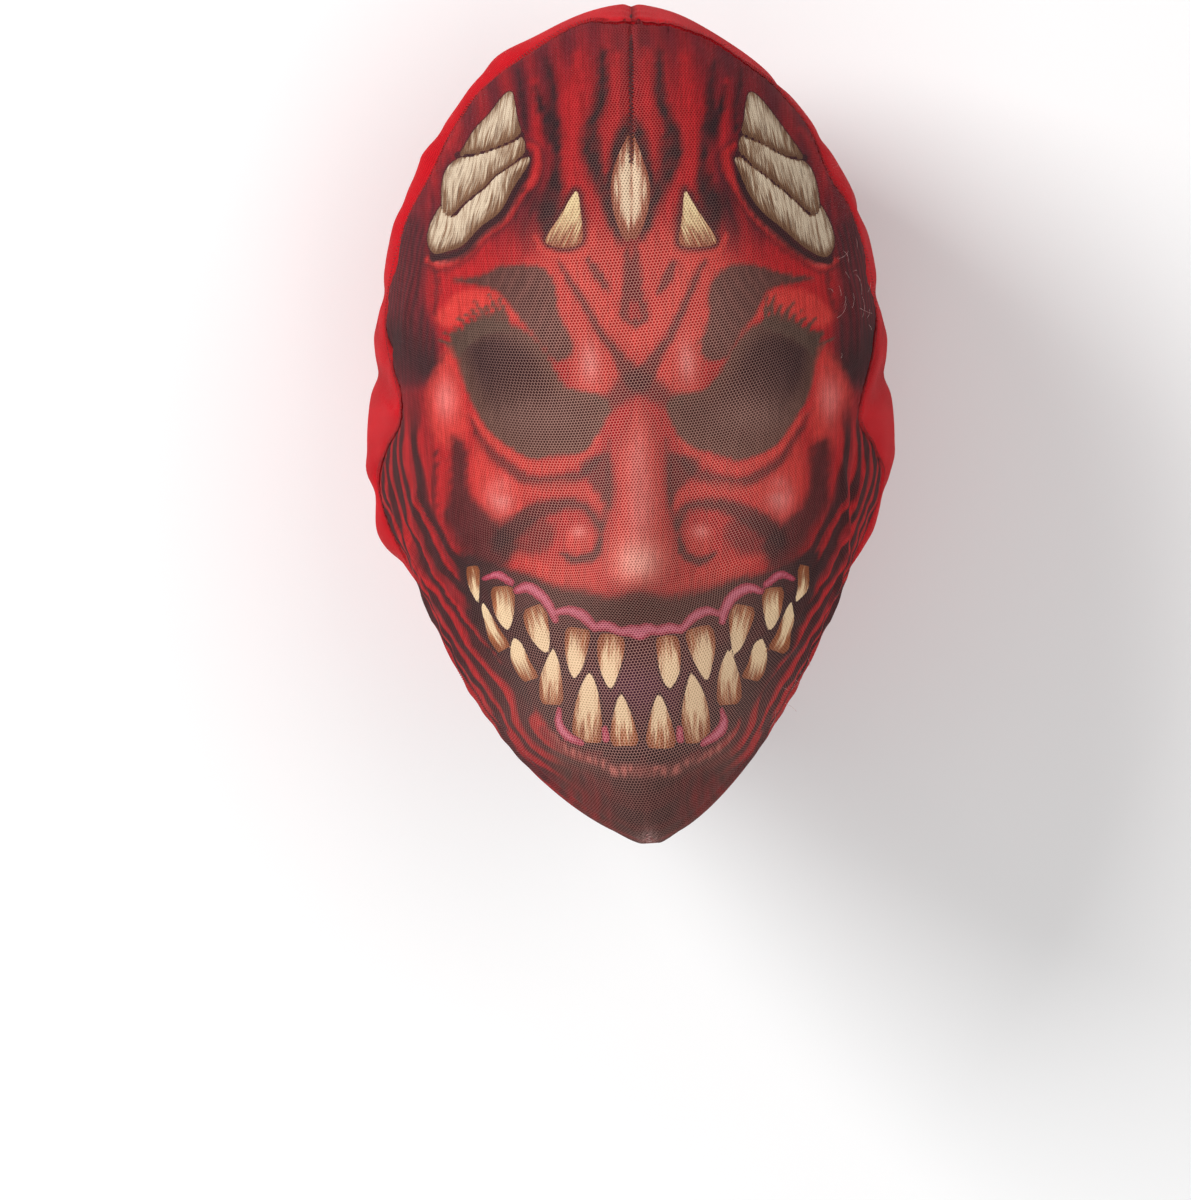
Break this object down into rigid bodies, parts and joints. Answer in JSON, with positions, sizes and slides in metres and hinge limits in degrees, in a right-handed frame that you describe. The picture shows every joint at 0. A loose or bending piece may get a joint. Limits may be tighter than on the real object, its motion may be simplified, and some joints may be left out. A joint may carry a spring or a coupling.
{
  "type": "stretch fabric devil mask",
  "caption": "Full-head stretch hood with a sheer printed devil face and a plain red back, open at the neck.",
  "frame": {"origin": "centre of the mask's outline seen from above, on the surface that the back of the head lies on", "axes": "+Z out of the printed face, +Y towards the crown, +X to the right as the face is seen"},
  "size_m": [0.174, 0.2776, 0.2114],
  "materials": {
    "printed_mesh": "sheer stretch power net, printed",
    "red_knit": "matt stretch knit with a short nap"
  },
  "bodies": {
    "root": {"face_panel": "printed_mesh", "hood_back_left": "red_knit", "hood_back_right": "red_knit"}
  },
  "joints": []
}
